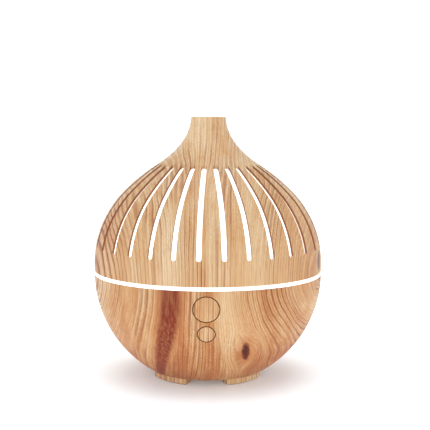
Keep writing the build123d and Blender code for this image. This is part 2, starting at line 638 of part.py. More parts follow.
with BuildPart() as fan_stator:
    with BuildSketch(Plane.XY.offset(STATOR_Z)):
        with Locations((0, FAN_Y)):
            Circle(STATOR_SHOE_R)
            Circle(STATOR_SHOE_R - STATOR_SHOE, mode=Mode.SUBTRACT)
            with PolarLocations(STATOR_SHOE_R, 4, start_angle=45):
                Rectangle(5 * STATOR_SHOE, 2, mode=Mode.SUBTRACT)
            Circle(STATOR_CORE_R)
            with PolarLocations((STATOR_CORE_R + STATOR_SHOE_R - STATOR_SHOE) / 2, 4):
                Rectangle(*STATOR_ARM)
            Circle(BEARING_TUBE_R, mode=Mode.SUBTRACT)
    extrude(amount=STATOR_HIGH)
save(fan_stator, "fan_stator")

with BuildPart() as fan_rotor:
    with BuildSketch(Plane.XY.offset(HUB_LOW_Z)):
        with Locations((0, FAN_Y)):
            Circle(HUB_R)
    extrude(amount=HUB_HIGH_Z - HUB_LOW_Z)
    fillet(fan_rotor.edges().group_by(Axis.Z)[-1], 0.8)
    for turn in range(BLADES):
        spoke = Plane.XY.rotated((0, 0, 360 * turn / BLADES))
        for radius, chord, thickness, pitch in BLADE_ENDS:
            place = Vector(0, FAN_Y, BLADE_Z) + spoke.x_dir * radius
            with BuildSketch(Plane(origin=place, x_dir=spoke.y_dir, z_dir=spoke.x_dir)):
                Rectangle(chord, thickness, rotation=pitch)
        loft()
    with BuildSketch(Plane.XY.offset(HUB_LOW_Z)):
        with Locations((0, FAN_Y)):
            Circle(BLADE_TIP_R)
    extrude(amount=HUB_HIGH_Z - HUB_LOW_Z, mode=Mode.INTERSECT)
    with BuildSketch(Plane.XY.offset(HUB_LOW_Z)):
        with Locations((0, FAN_Y)):
            Circle(HUB_R - HUB_WALL)
    extrude(amount=HUB_HIGH_Z - HUB_WALL - HUB_LOW_Z, mode=Mode.SUBTRACT)
    with BuildSketch(Plane.XY.offset(HUB_LOW_Z)):
        with Locations((0, FAN_Y)):
            Circle(SHAFT_R)
    extrude(amount=HUB_HIGH_Z - HUB_LOW_Z, mode=Mode.SUBTRACT)
save(fan_rotor, "fan_rotor")

with BuildPart() as fan_shaft:
    with BuildSketch(Plane.XY.offset(FAN_LOW_Z + FAN_DECK + 0.2)):
        with Locations((0, FAN_Y)):
            Circle(SHAFT_R)
    extrude(amount=HUB_HIGH_Z - FAN_LOW_Z - FAN_DECK - 0.4)
save(fan_shaft, "fan_shaft")

fan_screw = screw(FAN_SCREW)
with BuildPart() as fan_screws:
    with Locations((0, FAN_Y, FAN_LOW_Z)):
        with GridLocations(2 * FAN_HOLE, 2 * FAN_HOLE, 2, 2):
            add(fan_screw)
save(fan_screws, "fan_screws")


# ==============================================================================================
# Main board on four standoffs of the base plate, with its components.
# ==============================================================================================
with BuildPart() as main_board:
    with BuildSketch(Plane.XY.offset(BOARD_Z)):
        with Locations((0, BOARD_Y)):
            RectangleRounded(*BOARD_SIZE, 2)
            with GridLocations(2 * BOARD_HOLE[0], 2 * BOARD_HOLE[1], 2, 2):
                Circle(CLEAR_R, mode=Mode.SUBTRACT)
    extrude(amount=BOARD_THICK)
save(main_board, "main_board")

down_screw = screw(BOARD_SCREW, up=False)
with BuildPart() as main_board_screws:
    with Locations((0, BOARD_Y, BOARD_TOP_Z)):
        with GridLocations(2 * BOARD_HOLE[0], 2 * BOARD_HOLE[1], 2, 2):
            add(down_screw)
save(main_board_screws, "main_board_screws")

with BuildPart() as wire_plugs:
    for x, y, wide in PLUGS.values():
        add(block((wide, PLUG_DEEP, PLUG_HIGH), (x - wide / 2, y - PLUG_DEEP / 2, BOARD_TOP_Z)))
    chamfer(wire_plugs.edges().group_by(Axis.Z)[-1], 0.4)
save(wire_plugs, "wire_plugs")

with BuildPart() as coil_core:
    with BuildSketch(Plane.XY.offset(BOARD_TOP_Z)):
        with Locations((COIL_X, COIL_Y)):
            Circle(COIL_CORE_R)
    extrude(amount=COIL_HIGH)
    for low_z in (BOARD_TOP_Z, BOARD_TOP_Z + COIL_HIGH - COIL_FLANGE):
        with BuildSketch(Plane.XY.offset(low_z)):
            with Locations((COIL_X, COIL_Y)):
                Circle(COIL_R)
        extrude(amount=COIL_FLANGE)
save(coil_core, "coil_core")

with BuildPart() as coil_winding:
    with BuildSketch(Plane.XY.offset(BOARD_TOP_Z + COIL_FLANGE)):
        with Locations((COIL_X, COIL_Y)):
            Circle(COIL_R - 0.4)
            Circle(COIL_CORE_R, mode=Mode.SUBTRACT)
    extrude(amount=COIL_HIGH - 2 * COIL_FLANGE)
save(coil_winding, "coil_winding")

with BuildPart() as capacitors:
    with BuildSketch(Plane.XY.offset(BOARD_TOP_Z)):
        with Locations(*CAPACITOR_PLACES):
            Circle(CAPACITOR_R)
    extrude(amount=CAPACITOR_HIGH)
    fillet(capacitors.edges().group_by(Axis.Z)[-1], 0.4)
save(capacitors, "capacitors")

with BuildPart() as heat_sink:
    add(block((SINK_WIDTH, SINK_BACK, SINK_HIGH), (SINK_X, SINK_Y, BOARD_TOP_Z)))
    for fin in range(FIN_COUNT):
        fin_x = SINK_X + fin * (SINK_WIDTH - FIN_THICK) / (FIN_COUNT - 1)
        add(block((FIN_THICK, FIN_DEEP, SINK_HIGH), (fin_x, SINK_Y + SINK_BACK, BOARD_TOP_Z)))
save(heat_sink, "heat_sink")

with BuildPart() as power_transistor:
    add(block(TRANSISTOR_SIZE, (*TRANSISTOR_CORNER, BOARD_TOP_Z + TRANSISTOR_LIFT)))
    for pin in (-1, 0, 1):
        pin_x = PIN_X + pin * PIN_PITCH - PIN_SIZE[0] / 2
        add(block((*PIN_SIZE, TRANSISTOR_LIFT), (pin_x, PIN_Y, BOARD_TOP_Z)))
save(power_transistor, "power_transistor")

with BuildPart() as control_chip:
    add(block(CHIP_SIZE, (*CHIP_CORNER, BOARD_TOP_Z + CHIP_LIFT)))
    for leg in range(CHIP_LEGS):
        for low_y in (CHIP_CORNER[1] - CHIP_LEG[1], CHIP_CORNER[1] + CHIP_SIZE[1]):
            add(block(CHIP_LEG, (CHIP_CORNER[0] + 0.6 + leg * CHIP_PITCH, low_y, BOARD_TOP_Z)))
save(control_chip, "control_chip")


# ==============================================================================================
# Base: round shell with its button and socket openings, and the plate with the four feet.
# ==============================================================================================
PANEL_HOLES = (
    (MIST_RISE, MIST_HOLE_R, MIST_FLANGE_R, MIST_FLANGE_D),
    (LIGHT_RISE, LIGHT_HOLE_R, LIGHT_FLANGE_R, LIGHT_FLANGE_D),
)
PANEL_POSTS = [(x, u) for x in (-PANEL_POST_X, PANEL_POST_X) for u in (PANEL_POST_LOW, PANEL_POST_HIGH)]

with BuildPart() as shell_inside_fittings:
    for rise, hole_r, flange_r, flange_d in PANEL_HOLES:
        with BuildSketch(BUTTON_FRAME.offset(flange_d + COLLAR_PLAY)):
            with Locations((0, rise)):
                Circle(hole_r + COLLAR_WIDTH)
        extrude(amount=BODY_R)
    with BuildSketch(BUTTON_FRAME.offset(BOARD_FACE_D)):
        with Locations(*PANEL_POSTS):
            Circle(PANEL_POST_R)
    extrude(amount=BODY_R)
    with BuildSketch(Plane.XZ.offset(-POCKET_FLOOR_Y + POCKET_WALL)):
        with Locations((0, JACK_Z)):
            Circle(POCKET_R + POCKET_WALL)
    extrude(amount=-BODY_R)
    revolve(ball_section(BODY_R - WALL / 2, BASE_Z, BAND_LOW_Z), axis=Axis.Z, mode=Mode.INTERSECT)

with BuildPart() as lower_shell:
    revolve(ball_section(BODY_R, BASE_Z, BAND_LOW_Z), axis=Axis.Z)
    revolve(ball_section(BODY_R - WALL, BASE_Z + WALL, BAND_HIGH_Z), axis=Axis.Z, mode=Mode.SUBTRACT)
    rings = lower_shell.edges().filter_by(GeomType.CIRCLE)
    fillet(rings.sort_by(lambda e: e.center().Z + e.radius)[-1], RIM_ROUND)
    with BuildSketch(Plane.XY.offset(BASE_Z)):
        Circle(BASE_OPENING_R)
    extrude(amount=WALL, mode=Mode.SUBTRACT)
    add(shell_inside_fittings.part)
    for rise, hole_r, flange_r, flange_d in PANEL_HOLES:
        with BuildSketch(BUTTON_FRAME.offset(BOARD_FACE_D)):
            with Locations((0, rise)):
                Circle(hole_r)
        extrude(amount=BODY_R, mode=Mode.SUBTRACT)
    with BuildSketch(BUTTON_FRAME.offset(BOARD_FACE_D)):
        with Locations(*PANEL_POSTS):
            Circle(PILOT_R)
    extrude(amount=PANEL_PILOT, mode=Mode.SUBTRACT)
    with BuildSketch(Plane.XZ.offset(-POCKET_FLOOR_Y)):
        with Locations((0, JACK_Z)):
            Circle(POCKET_R)
    extrude(amount=-BODY_R, mode=Mode.SUBTRACT)
    with BuildSketch(Plane.XZ.offset(-POCKET_FLOOR_Y + POCKET_WALL)):
        with Locations((0, JACK_Z)):
            Circle(JACK_BARREL_R + JACK_PLAY)
    extrude(amount=-POCKET_WALL, mode=Mode.SUBTRACT)
save(lower_shell, "lower_shell")

PLATE_SCREWS = [(x * POST_X, y * POST_Y) for x, y in FOUR_CORNERS]
FOOT_START = 45 - FOOT_ARC / 2
pad_inner_r = FOOT_INNER_R + PAD_MARGIN
pad_outer_r = FOOT_OUTER_R - PAD_MARGIN
pad_arc = FOOT_ARC - 2 * PAD_END
play_arc = degrees(PAD_PLAY / pad_outer_r)

with BuildPart() as foot:
    foot_section = ring_section(FOOT_INNER_R, FOOT_OUTER_R, FOOT_Z, BASE_Z, FOOT_START)
    revolve(foot_section, axis=Axis.Z, revolution_arc=FOOT_ARC)
    fillet(foot.faces().filter_by(Axis.Z).group_by(Axis.Z)[0].edges(), FOOT_ROUND)
    recess = ring_section(
        pad_inner_r - PAD_PLAY, pad_outer_r + PAD_PLAY, 0, PAD_TOP_Z, FOOT_START + PAD_END - play_arc
    )
    revolve(recess, axis=Axis.Z, revolution_arc=pad_arc + 2 * play_arc, mode=Mode.SUBTRACT)

with BuildPart() as base_plate:
    with BuildSketch(Plane.XY.offset(BASE_Z)):
        Circle(PLATE_R)
    extrude(amount=PLATE_TOP_Z - BASE_Z)
    with PolarLocations(0, 4):
        add(foot.part)
    with BuildSketch(Plane.XY.offset(PLATE_TOP_Z)):
        with Locations((0, BOARD_Y)):
            with GridLocations(2 * BOARD_HOLE[0], 2 * BOARD_HOLE[1], 2, 2):
                Circle(STANDOFF_R)
    extrude(amount=BOARD_Z - PLATE_TOP_Z)
    with BuildSketch(Plane.XY.offset(BASE_Z + 0.8)):
        with Locations((0, BOARD_Y)):
            with GridLocations(2 * BOARD_HOLE[0], 2 * BOARD_HOLE[1], 2, 2):
                Circle(PILOT_R)
    extrude(amount=BOARD_Z - BASE_Z, mode=Mode.SUBTRACT)
    with BuildSketch(Plane.XY):
        with Locations(*PLATE_SCREWS):
            Circle(HEAD_R + 0.3)
    extrude(amount=SCREW_SEAT_Z, mode=Mode.SUBTRACT)
    with BuildSketch(Plane.XY):
        with Locations(*PLATE_SCREWS):
            Circle(CLEAR_R)
    extrude(amount=PLATE_TOP_Z, mode=Mode.SUBTRACT)
    with BuildSketch(Plane.XY.offset(BASE_Z)):
        with Locations((0, GRILLE_Y)):
            with GridLocations(GRILLE_SLOT[0] + 3, GRILLE_PITCH, 2, GRILLE_ROWS):
                SlotOverall(*GRILLE_SLOT)
    extrude(amount=PLATE_TOP_Z - BASE_Z, mode=Mode.SUBTRACT)
save(base_plate, "base_plate")

with BuildPart() as foot_pads:
    for quarter in range(4):
        start = FOOT_START + PAD_END + 90 * quarter
        pad = ring_section(pad_inner_r, pad_outer_r, 0, PAD_TOP_Z, start)
        revolve(pad, axis=Axis.Z, revolution_arc=pad_arc)
save(foot_pads, "foot_pads")

plate_screw = screw(PLATE_SCREW)
with BuildPart() as base_screws:
    with Locations(*[(x, y, SCREW_SEAT_Z) for x, y in PLATE_SCREWS]):
        add(plate_screw)
save(base_screws, "base_screws")


# ==============================================================================================
# Power socket in the pocket at the back. Its axis is along Y.
# ==============================================================================================
POCKET_INSIDE_Y = POCKET_FLOOR_Y - POCKET_WALL
JACK_MOUTH_Y = POCKET_FLOOR_Y + JACK_FLANGE
with BuildPart() as dc_jack:
    housing = (JACK_BLOCK, JACK_BLOCK_Y - JACK_END_Y, JACK_BLOCK)
    add(block(housing, (-JACK_BLOCK / 2, JACK_END_Y, JACK_Z - JACK_BLOCK / 2)))
    for near_y, far_y, radius, mode in (
        (JACK_BLOCK_Y, POCKET_FLOOR_Y, JACK_BARREL_R, Mode.ADD),
        (POCKET_FLOOR_Y, JACK_MOUTH_Y, JACK_FLANGE_R, Mode.ADD),
        (JACK_MOUTH_Y - SOCKET_DEPTH, JACK_MOUTH_Y, SOCKET_R, Mode.SUBTRACT),
        (JACK_END_Y + PIN_TAIL, JACK_MOUTH_Y, PIN_R, Mode.SUBTRACT),
    ):
        with BuildSketch(Plane.XZ.offset(-near_y)):
            with Locations((0, JACK_Z)):
                Circle(radius)
        extrude(amount=near_y - far_y, mode=mode)
save(dc_jack, "dc_jack")

with BuildPart() as jack_pin:
    with BuildSketch(Plane.XZ.offset(-JACK_END_Y - PIN_TAIL)):
        with Locations((0, JACK_Z)):
            Circle(PIN_R)
    extrude(amount=JACK_END_Y + PIN_SET_BACK - JACK_MOUTH_Y)
    fillet(jack_pin.edges().group_by(Axis.Y)[-1], 0.5)
save(jack_pin, "jack_pin")

with BuildPart() as jack_nut:
    with BuildSketch(Plane.XZ.offset(-POCKET_INSIDE_Y + NUT_THICK)):
        with Locations((0, JACK_Z)):
            RegularPolygon(NUT_R, 6)
            Circle(JACK_BARREL_R, mode=Mode.SUBTRACT)
    extrude(amount=-NUT_THICK)
save(jack_nut, "jack_nut")


# ==============================================================================================
# Button panel: board with two switches behind the shell, and the two buttons with their plungers.
# ==============================================================================================
with BuildPart() as button_board:
    with BuildSketch(BUTTON_FRAME.offset(BOARD_FACE_D - BOARD_THICK)):
        with Locations((0, (PANEL_BOARD_LOW + PANEL_BOARD_HIGH) / 2)):
            RectangleRounded(PANEL_BOARD_WIDTH, PANEL_BOARD_HIGH - PANEL_BOARD_LOW, 1.5)
        with Locations(*PANEL_POSTS):
            Circle(CLEAR_R, mode=Mode.SUBTRACT)
    extrude(amount=BOARD_THICK)
save(button_board, "button_board")

panel_screw = screw(PANEL_SCREW)
with BuildPart() as button_board_screws:
    with Locations(*[on_panel(x, rise, BOARD_FACE_D - BOARD_THICK) for x, rise in PANEL_POSTS]):
        add(panel_screw)
save(button_board_screws, "button_board_screws")

with BuildPart() as tact_switches:
    for rise in (MIST_RISE, LIGHT_RISE):
        with BuildSketch(BUTTON_FRAME.offset(BOARD_FACE_D)):
            with Locations((0, rise)):
                Rectangle(SWITCH_SIDE, SWITCH_SIDE)
        extrude(amount=SWITCH_HIGH)
        with BuildSketch(BUTTON_FRAME.offset(BOARD_FACE_D + SWITCH_FLOOR)):
            with Locations((0, rise)):
                Circle(PLUNGER_R + PLUNGER_FIT)
        extrude(amount=SWITCH_HIGH, mode=Mode.SUBTRACT)
save(tact_switches, "tact_switches")

for name, rise, hole_r, flange_r, flange_d in (
    ("mist", MIST_RISE, MIST_HOLE_R, MIST_FLANGE_R, MIST_FLANGE_D),
    ("light", LIGHT_RISE, LIGHT_HOLE_R, LIGHT_FLANGE_R, LIGHT_FLANGE_D),
):
    with BuildPart() as button:
        with BuildSketch(BUTTON_FRAME.offset(flange_d)):
            with Locations((0, rise)):
                Circle(hole_r - BUTTON_GAP)
        extrude(amount=BODY_R)
        revolve(ball_section(BODY_R, BASE_Z, TOP_Z), axis=Axis.Z, mode=Mode.INTERSECT)
        with BuildSketch(BUTTON_FRAME.offset(flange_d - FLANGE_THICK)):
            with Locations((0, rise)):
                Circle(flange_r)
        extrude(amount=FLANGE_THICK)
        with BuildSketch(BUTTON_FRAME.offset(PLUNGER_TIP_D)):
            with Locations((0, rise)):
                Circle(BUTTON_STEM_R)
        extrude(amount=flange_d - FLANGE_THICK - PLUNGER_TIP_D)
    save(button, f"{name}_button")

    with BuildPart() as plunger:
        with BuildSketch(BUTTON_FRAME.offset(PLUNGER_ROOT_D)):
            with Locations((0, rise)):
                Circle(PLUNGER_R)
        extrude(amount=PLUNGER_TIP_D - PLUNGER_ROOT_D)
    save(plunger, f"{name}_plunger")


# ==============================================================================================
# Leads inside the base, each a pair or three of wires from a component to its plug.
# ==============================================================================================
def plug_face(name, side):
    """Y of a plug's face, on its front (-1) or back (+1) side."""
    return PLUGS[name][1] + side * PLUG_DEEP / 2


JACK_LEAD_Y = 45.0
FAN_LEAD_Y = 2.6
LED_LEAD_START = (-48.5, -6.0)
LED_LEAD_CORNER = (-35.0, 4.0)
LED_LEAD_DROP = 5.3
LINK_ENDS_X, LINK_Z = 10.0, 27.2
DISC_LEAD_X, DISC_LEAD_Z = 2.0, 22.0
PANEL_LEAD_DROP, PANEL_LEAD_Y = 12.0, -40.0

bundles = {}
bundles["jack_leads"] = leads(
    *[
        (
            [
                (x, JACK_LEAD_Y, JACK_Z - JACK_BLOCK / 2),
                (x, JACK_LEAD_Y, LEAD_Z),
                (x, plug_face("jack", 1), LEAD_Z),
            ],
            [1.6],
        )
        for x in (-1.2, 1.2)
    ]
)
bundles["fan_leads"] = leads(
    *[
        ([(x, FAN_LEAD_Y, FAN_LOW_Z), (x, FAN_LEAD_Y, LEAD_Z), (x, plug_face("fan", 1), LEAD_Z)], [1.0])
        for x in (8, 10)
    ]
)
bundles["led_leads"] = leads(
    *[
        (
            [
                (LED_LEAD_START[0] + shift, LED_LEAD_START[1] + shift, LED_BOARD_Z),
                (LED_LEAD_START[0] + shift, LED_LEAD_START[1] + shift, LED_BOARD_Z - LED_LEAD_DROP),
                (LED_LEAD_CORNER[0] + shift, LED_LEAD_CORNER[1] + shift, LEAD_Z),
                (PLUGS["led"][0] - shift, LED_LEAD_CORNER[1] + shift, LEAD_Z),
                (PLUGS["led"][0] - shift, plug_face("led", 1), LEAD_Z),
            ],
            [2.0, 2.0, 2.0],
        )
        for shift in (-1, 1)
    ]
)
bundles["led_link"] = leads(
    *[
        (
            [
                (LINK_ENDS_X, y, LED_BOARD_Z),
                (LINK_ENDS_X, y, LINK_Z),
                (-LINK_ENDS_X, y, LINK_Z),
                (-LINK_ENDS_X, y, LED_BOARD_Z),
            ],
            [1.1, 1.1],
        )
        for y in (-LED_MID_R + 1, -LED_MID_R - 1)
    ]
)
bundles["disc_leads"] = leads(
    *[
        (
            [
                (DISC_LEAD_X, DISC_Y + shift, SEAT_Z - (SEAL_THICK + DISC_THICK) / 2),
                (DISC_LEAD_X, DISC_Y + shift, DISC_LEAD_Z),
                (PLUGS["disc"][0], PLUGS["disc"][1] + shift, DISC_LEAD_Z),
                (PLUGS["disc"][0], PLUGS["disc"][1] + shift, BOARD_TOP_Z + PLUG_HIGH),
            ],
            [1.8, 1.8],
        )
        for shift in (-1, 1)
    ]
)
board_edge = on_panel(0, PANEL_BOARD_LOW, BOARD_FACE_D - BOARD_THICK / 2).position
below_board = on_panel(0, PANEL_BOARD_LOW - PANEL_LEAD_DROP, BOARD_FACE_D - BOARD_THICK / 2).position
bundles["panel_leads"] = leads(
    *[
        (
            [
                (x, board_edge.Y, board_edge.Z),
                (x, below_board.Y, below_board.Z),
                (x, PANEL_LEAD_Y, LEAD_Z),
                (x, plug_face("panel", -1), LEAD_Z),
            ],
            [4.0, 4.0],
        )
        for x in (-2, 0, 2)
    ]
)
for name, bundle in bundles.items():
    bundle.label = name
    export_step(bundle, f"parts/{name}.step")
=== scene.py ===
"""Looks of the essential oil diffuser: wood-grain shells, lit shade and ring, and everything inside."""

import json
import math

import bpy
from mathutils import Matrix, Vector


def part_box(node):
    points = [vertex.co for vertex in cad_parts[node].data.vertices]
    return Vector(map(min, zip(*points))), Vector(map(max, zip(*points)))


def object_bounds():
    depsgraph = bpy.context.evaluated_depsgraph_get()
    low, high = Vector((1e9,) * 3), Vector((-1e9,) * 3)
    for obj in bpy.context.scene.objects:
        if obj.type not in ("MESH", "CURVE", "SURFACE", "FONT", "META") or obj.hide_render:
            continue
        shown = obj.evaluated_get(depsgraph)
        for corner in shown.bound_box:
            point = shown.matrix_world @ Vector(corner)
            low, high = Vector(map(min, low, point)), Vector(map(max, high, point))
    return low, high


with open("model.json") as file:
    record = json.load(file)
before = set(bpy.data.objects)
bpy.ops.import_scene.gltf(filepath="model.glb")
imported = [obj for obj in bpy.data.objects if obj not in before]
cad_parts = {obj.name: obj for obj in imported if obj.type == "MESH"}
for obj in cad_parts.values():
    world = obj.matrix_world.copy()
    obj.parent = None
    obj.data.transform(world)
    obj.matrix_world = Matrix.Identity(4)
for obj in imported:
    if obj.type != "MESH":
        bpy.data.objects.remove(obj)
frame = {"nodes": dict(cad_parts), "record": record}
cad_low, cad_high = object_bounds()
nodes = frame["nodes"]

MM = 0.001
RADIUS = (cad_high.x - cad_low.x) / 2
SEAM_Z = (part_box("cover_shell")[0].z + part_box("lower_shell")[1].z) / 2  # the equator, mid ring
HEIGHT = cad_high.z


# ---------------------------------------------------------------------------------------------
# Shader arithmetic
# ---------------------------------------------------------------------------------------------
def linear(red, green, blue):
    """Linear colour of an 8-bit sRGB one."""
    def channel(value):
        value /= 255
        return value / 12.92 if value <= 0.04045 else ((value + 0.055) / 1.055) ** 2.4
    return (channel(red), channel(green), channel(blue), 1.0)


def connect(tree, value, target):
    """Links a field to a socket, or sets the socket to a constant."""
    if isinstance(value, Field):
        tree.links.new(value.socket, target)
    else:
        target.default_value = value


class Field:
    """A number, vector or colour that varies over a surface: one socket, with arithmetic on it."""

    def __init__(self, tree, socket):
        self.tree, self.socket = tree, socket

    def math(self, operation, *others, clamp=False):
        node = self.tree.nodes.new("ShaderNodeMath")
        node.operation = operation
        node.use_clamp = clamp
        for target, value in zip(node.inputs, (self, *others)):
            connect(self.tree, value, target)
        return Field(self.tree, node.outputs[0])

    def __add__(self, other):
        return self.math("ADD", other)

    def __sub__(self, other):
        return self.math("SUBTRACT", other)

    def __mul__(self, other):
        return self.math("MULTIPLY", other)

    def __truediv__(self, other):
        return self.math("DIVIDE", other)

    def ramp(self, low, high, to_low=0.0, to_high=1.0):
        """Smooth step from to_low where this is low to to_high where it is high."""
        node = self.tree.nodes.new("ShaderNodeMapRange")
        node.interpolation_type = "SMOOTHSTEP"
        connect(self.tree, self, node.inputs["Value"])
        for name, value in (("From Min", low), ("From Max", high), ("To Min", to_low), ("To Max", to_high)):
            connect(self.tree, value, node.inputs[name])
        return Field(self.tree, node.outputs[0])

    def bump_at(self, middle, half_width):
        """1 where this equals middle, falling smoothly to 0 at half_width away."""
        return (self - middle).math("ABSOLUTE").ramp(0, half_width, 1, 0)

    def mix(self, other, share):
        """This colour with a share of another laid over it."""
        node = self.tree.nodes.new("ShaderNodeMix")
        node.data_type = "RGBA"
        connect(self.tree, share, node.inputs[0])
        connect(self.tree, self, node.inputs[6])
        connect(self.tree, other, node.inputs[7])
        return Field(self.tree, node.outputs[2])


class Surface:
    """A material being made: its node tree, its Principled shader and the fields that it can use."""

    def __init__(self, name):
        self.material = bpy.data.materials.new(name)
        self.material.use_nodes = True
        self.tree = self.material.node_tree
        self.shader = self.tree.nodes["Principled BSDF"]
        place = self.tree.nodes.new("ShaderNodeTexCoord")
        split = self.tree.nodes.new("ShaderNodeSeparateXYZ")
        self.tree.links.new(place.outputs["Object"], split.inputs[0])
        self.x, self.y, self.z = (Field(self.tree, split.outputs[axis]) * (1 / MM) for axis in range(3))

    def vector(self, x, y, z):
        node = self.tree.nodes.new("ShaderNodeCombineXYZ")
        for target, value in zip(node.inputs, (x, y, z)):
            connect(self.tree, value, target)
        return Field(self.tree, node.outputs[0])

    def noise(self, vector, scale=1.0, detail=2.0, roughness=0.5, distortion=0.0):
        """Cloudy values from about 0 to 1, centred on 0.5."""
        node = self.tree.nodes.new("ShaderNodeTexNoise")
        node.inputs["Scale"].default_value = scale
        node.inputs["Detail"].default_value = detail
        node.inputs["Roughness"].default_value = roughness
        node.inputs["Distortion"].default_value = distortion
        self.tree.links.new(vector.socket, node.inputs["Vector"])
        return Field(self.tree, node.outputs["Fac"])

    def cells(self, vector, scale=1.0):
        """Distance to the nearest of many scattered points."""
        node = self.tree.nodes.new("ShaderNodeTexVoronoi")
        node.inputs["Scale"].default_value = scale
        self.tree.links.new(vector.socket, node.inputs["Vector"])
        return Field(self.tree, node.outputs["Distance"])

    def normal(self):
        """The surface's own direction in the object's frame, as three fields."""
        place = self.tree.nodes.new("ShaderNodeTexCoord")
        split = self.tree.nodes.new("ShaderNodeSeparateXYZ")
        self.tree.links.new(place.outputs["Normal"], split.inputs[0])
        return [Field(self.tree, split.outputs[axis]) for axis in range(3)]

    def two_tone(self, low, high, share):
        """A colour between two 8-bit sRGB ones."""
        node = self.tree.nodes.new("ShaderNodeMix")
        node.data_type = "RGBA"
        node.inputs[6].default_value = linear(*low)
        node.inputs[7].default_value = linear(*high)
        connect(self.tree, share, node.inputs[0])
        return Field(self.tree, node.outputs[2])

    def colour(self, value):
        connect(self.tree, value, self.shader.inputs["Base Color"])

    def rough(self, value):
        connect(self.tree, value, self.shader.inputs["Roughness"])

    def glow(self, value):
        connect(self.tree, value, self.shader.inputs["Emission Strength"])

    def relief(self, height, depth_mm, strength=1.0):
        """Bump from a field of 0 to 1 that stands for a height of depth_mm."""
        node = self.tree.nodes.new("ShaderNodeBump")
        node.inputs["Distance"].default_value = depth_mm * MM
        node.inputs["Strength"].default_value = strength
        self.tree.links.new(height.socket, node.inputs["Height"])
        self.tree.links.new(node.outputs["Normal"], self.shader.inputs["Normal"])

    def set(self, **values):
        """Sets constant sockets of the shader, with _ for each space in a name."""
        for name, value in values.items():
            self.shader.inputs[name.replace("_", " ")].default_value = value


# ---------------------------------------------------------------------------------------------
# Wood grain. It runs up the object, with growth rings across it that fan out away from the seam.
# ---------------------------------------------------------------------------------------------
CREAM = linear(235, 205, 165)
PALE = linear(224, 182, 134)
HONEY = linear(210, 155, 103)
TAN = linear(188, 116, 66)
LINE = linear(150, 76, 38)
STREAK = linear(130, 45, 22)
KNOT = linear(80, 28, 16)
# dark brown of bare plastic with painted shade, on cut walls and in the button gaps
PLASTIC_AND_SHADE_BROWN = linear(130, 72, 38)
SEAM = SEAM_Z / MM
BODY = RADIUS / MM
KNOT_PLACE = (24.0, SEAM - 41.5)  # x and z in mm
KNOT_SIZE = (3.4, 8.6)
BUTTON_FACE = 1.2 * MM  # how far in from its front a button's edge is looked for
# the dark line round each button is painted shade
BUTTON_GAP = 0.2  # mm from a button's edge to the middle of the dark line round it


def near_knot(surface, stretch_x=1.0, stretch_z=1.0):
    """How close a point is to the knot: 1 at its heart, 0 outside, longer along the grain."""
    side = (surface.x - KNOT_PLACE[0]) / (KNOT_SIZE[0] * stretch_x)
    rise = (surface.z - KNOT_PLACE[1]) / (KNOT_SIZE[1] * stretch_z)
    return (side * side + rise * rise).ramp(0, 1, 1, 0) * surface.y.ramp(-10, 10, 1, 0)


def press_axis():
    """The way the buttons are pressed."""
    joints = {joint["name"]: joint for joint in frame["record"]["behaviour"]["joints"]}
    return Vector(joints["mist_press"]["axis"])


def button_gap_shade(surface, name):
    """Where painted shade in a button's gap goes: 1 on the edge of a button and of the hole that it sits in,
    falling to 0 half a millimetre away.
    """
    press = press_axis()
    points = [vertex.co - Vector((0, 0, SEAM_Z)) for vertex in nodes[name].data.vertices]
    rises = [point.z * press.y - point.y * press.z for point in points]
    depths = [point.dot(press) for point in points]
    face = [abs(point.x) for point, depth in zip(points, depths) if depth < min(depths) + BUTTON_FACE]
    middle = (max(rises) + min(rises)) / 2 / MM
    radius = max(face) / MM + BUTTON_GAP
    rise = (surface.z - SEAM) * press.y - surface.y * press.z - middle
    reach = (surface.x * surface.x + rise * rise).math("SQRT") - radius
    return reach.math("ABSOLUTE").ramp(0.15, 0.55, 1, 0) * surface.y.ramp(-30, -20, 1, 0)


def paint_gap_shade(surface, colour):
    """A colour with painted shade laid over it in the gap round each button."""
    gap_shade = button_gap_shade(surface, "mist_button").math("MAXIMUM", button_gap_shade(surface, "light_button"))
    # painted shade in the gap round each button
    return colour.mix(PLASTIC_AND_SHADE_BROWN, gap_shade * 0.6)


def facing_out(surface):
    """1 on the shell's outside, falling to 0 on its inner face and on the cut walls of its openings."""
    out_x, out_y, out_z = surface.normal()
    reach = (surface.x * surface.x + surface.y * surface.y).math("SQRT").math("MAXIMUM", 1.0)
    outward = ((out_x * surface.x + out_y * surface.y) / reach).math("MAXIMUM", 0.0)
    upright = surface.z.ramp(SEAM - 1, SEAM + 1, -1, 1)
    tilt = (out_z * upright).math("MAXIMUM", 0.0)
    return outward * outward + tilt * tilt


def growth(surface, shift, fan, curl, lean, knot):
    """The growth coordinate in mm: it runs from left to right, and the wood's rings are its levels.

    fan spreads the lines away from the seam, at the left and at the right. curl bends them into rings
    at the sides. lean tips the ones at the far left. knot makes them flow round the knot.
    """
    away = (surface.z - SEAM).math("ABSOLUTE")
    spread = away.ramp(0, 48) * surface.x.ramp(-5, 26, *fan) + 1.0
    depth = (surface.y + BODY) * (-curl / BODY) + 1.0
    slow = surface.noise(surface.vector(surface.x + shift, surface.y, surface.z * 0.30), 0.018, 1)
    quick = surface.noise(surface.vector(surface.x + shift, surface.y, surface.z * 0.16), 0.10, 2)
    level = surface.x * depth / spread + (slow - 0.5) * 7.0 + (quick - 0.5) * 1.7
    if lean:
        level = level + (surface.z - SEAM) * surface.x.ramp(-70, -22, lean, 0)
    if knot:
        pull = near_knot(surface, 4.4, 2.2)
        level = level - (surface.x - KNOT_PLACE[0]) * pull * 0.62 - pull * 2.0
    return level


def early_wood(surface, shade):
    """The wood between its lines: from cream where shade is 0 to tan where it is 1."""
    palette = surface.tree.nodes.new("ShaderNodeValToRGB")
    stops = palette.color_ramp.elements
    stops[0].color = CREAM
    stops[1].color = TAN
    stops.new(0.33).color = PALE
    stops.new(0.66).color = HONEY
    surface.tree.links.new(shade.socket, palette.inputs[0])
    return Field(surface.tree, palette.outputs[0])


